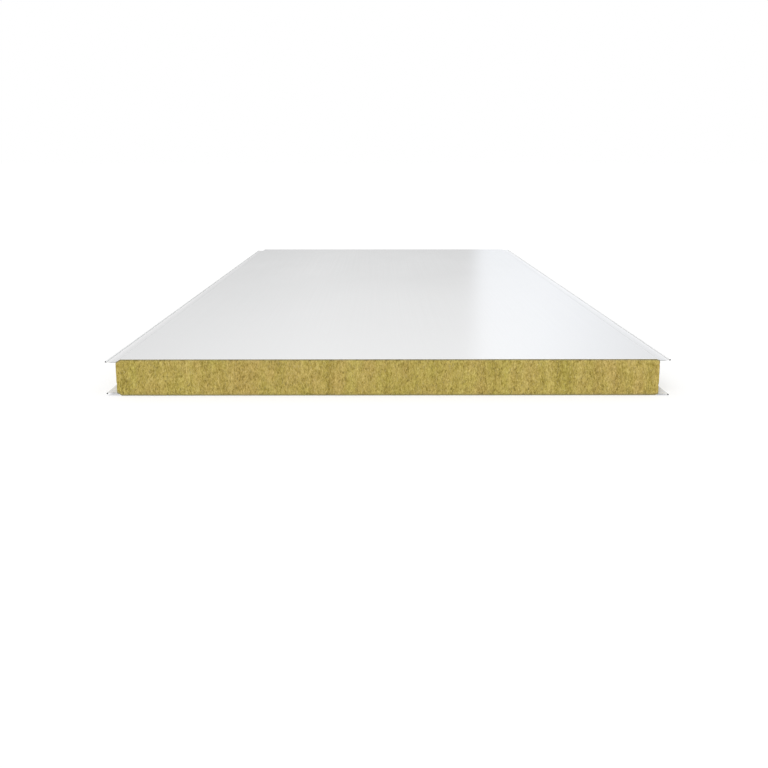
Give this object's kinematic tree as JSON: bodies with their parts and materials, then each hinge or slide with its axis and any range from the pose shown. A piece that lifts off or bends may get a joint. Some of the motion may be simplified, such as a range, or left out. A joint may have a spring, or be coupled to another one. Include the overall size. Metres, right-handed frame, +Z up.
{
  "type": "insulated sandwich panel",
  "caption": "Flat wall panel with a mineral wool core bonded between white steel facings, whose rolled and beaded flanges lap with the next panel along the long edges.",
  "frame": {"origin": "below the middle of the panel, in the plane of the inner facing that it lies on", "axes": "+X across the panel from the male edge to the female edge, +Y along its length, +Z up through its thickness to the outer facing"},
  "size_m": [1.2, 2.8, 0.08],
  "materials": {
    "coated_steel": "glossy white coil coating on galvanised steel",
    "mineral_wool": "sawn stone wool, mustard brown, fibres running through the thickness"
  },
  "bodies": {
    "root": {"outer_facing": "coated_steel", "inner_facing": "coated_steel", "wool_core": "mineral_wool"}
  },
  "joints": []
}
